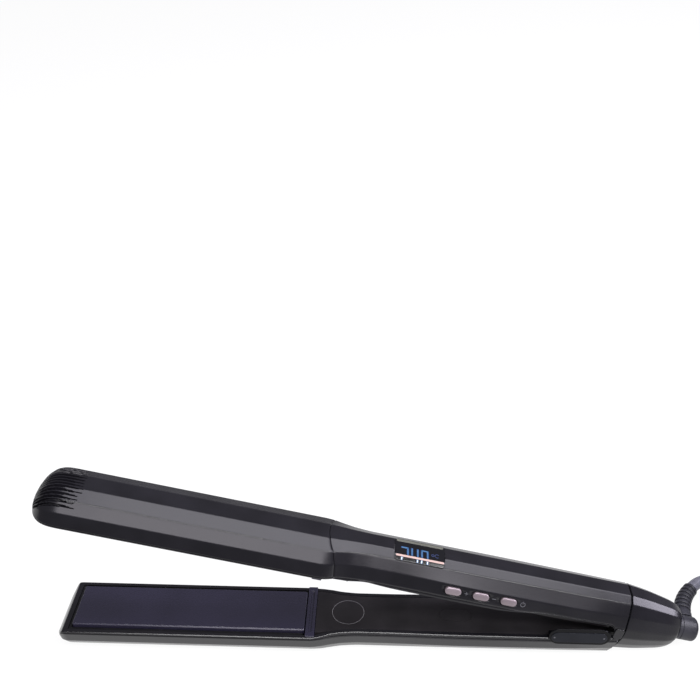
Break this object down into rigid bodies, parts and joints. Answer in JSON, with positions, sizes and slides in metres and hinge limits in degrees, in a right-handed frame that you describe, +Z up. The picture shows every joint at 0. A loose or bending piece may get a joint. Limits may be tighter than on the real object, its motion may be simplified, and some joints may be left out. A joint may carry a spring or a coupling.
{
  "type": "flat iron",
  "caption": "Hinged hair-straightening iron with two floating heated plates, temperature display, push buttons and a swivel mains cord.",
  "frame": {"origin": "on the surface the iron lies on, on the lower arm's rest face 130 mm in front of the hinge axis and on the middle plane", "axes": "+X from the tip towards the cord end, +Z up out of the surface, +Y completes the frame"},
  "size_m": [0.4915, 0.0606, 0.0874],
  "materials": {
    "casing": "satin black moulded plastic",
    "panel": "matt black",
    "tray": "heat-resistant plastic, matt",
    "plate": "ceramic-coated, glossy",
    "heater": "ceramic",
    "steel": "plain",
    "screw": "blackened",
    "badge": "gloss black",
    "badge_face": "satin dark grey",
    "wire": "silicone sleeve",
    "rubber": "satin black",
    "window": "gloss black",
    "display": "module",
    "digits": "lit",
    "board": "lacquered",
    "switch": "matt",
    "button": "satin silver",
    "mark": "printed",
    "bush": "self-lubricating plastic",
    "cord": "matt black",
    "plug": "matt black",
    "pin": "nickel-plated"
  },
  "bodies": {
    "lower_arm": {"lower_casing": "casing", "lower_panel": "panel", "lower_panel_cap": "panel", "lower_panel_pad": "panel", "lower_tray": "tray", "lower_crossbar": "panel", "lower_screws": "screw", "badge_near": "badge", "badge_near_face": "badge_face", "badge_far": "badge", "badge_far_face": "badge_face", "heater_wires": "wire", "lower_float_springs": "steel"},
    "lower_plate": {"lower_plate": "plate", "lower_heater": "heater", "lower_sensor": "steel"},
    "upper_arm": {"upper_casing_front": "casing", "upper_casing_rear": "casing", "upper_panel": "panel", "upper_tray": "tray", "upper_crossbar": "panel", "upper_screws": "screw", "upper_stop_pad": "rubber", "upper_float_springs": "steel", "display_window": "window", "display_module": "display", "display_digits": "digits", "control_board": "board", "button_switches": "switch", "button_marks": "mark", "tail_cap": "casing", "hinge_pin": "steel", "return_spring": "steel", "swivel_bush": "bush"},
    "upper_plate": {"upper_plate": "plate", "upper_heater": "heater", "upper_sensor": "steel"},
    "button_plus": {"button_plus": "button"},
    "button_minus": {"button_minus": "button"},
    "button_power": {"button_power": "button"},
    "swivel": {"swivel_barrel": "rubber", "strain_relief": "rubber", "cord_lead": "cord", "cord_hank": "cord", "cord_end": "cord", "cord_tie": "cord", "plug_body": "plug", "plug_pins": "pin"}
  },
  "joints": [
    {"name": "arm_hinge", "type": "hinge", "parent": "lower_arm", "child": "upper_arm", "pos_m": [0.13, 0, 0.0154], "axis": [0, 1, 0], "range_deg": [-12.7, 0], "stiffness_Nm_per_rad": 1.6, "springref_deg": 28.65, "deforming": ["return_spring"]},
    {"name": "lower_plate_float", "type": "slide", "parent": "lower_arm", "child": "lower_plate", "axis": [0, 0, -1], "range_m": [0, 0.001], "stiffness_N_per_m": 3000, "springref_m": -0.002, "deforming": ["lower_float_springs"]},
    {"name": "upper_plate_float", "type": "slide", "parent": "upper_arm", "child": "upper_plate", "axis": [0.2198, 0, 0.9755], "range_m": [0, 0.001], "stiffness_N_per_m": 3000, "springref_m": -0.002, "deforming": ["upper_float_springs"]},
    {"name": "button_plus_press", "type": "slide", "parent": "upper_arm", "child": "button_plus", "axis": [-0.0562, 0.9668, -0.2492], "range_m": [0, 0.0004], "stiffness_N_per_m": 800, "springref_m": -0.0004},
    {"name": "button_minus_press", "type": "slide", "parent": "upper_arm", "child": "button_minus", "axis": [-0.0562, 0.9668, -0.2492], "range_m": [0, 0.0004], "stiffness_N_per_m": 800, "springref_m": -0.0004},
    {"name": "button_power_press", "type": "slide", "parent": "upper_arm", "child": "button_power", "axis": [-0.0562, 0.9668, -0.2492], "range_m": [0, 0.0004], "stiffness_N_per_m": 800, "springref_m": -0.0004},
    {"name": "cord_swivel", "type": "hinge", "parent": "upper_arm", "child": "swivel", "pos_m": [0.14951, 0, 0.011], "axis": [0.9755, 0, -0.2198], "continuous": true}
  ]
}
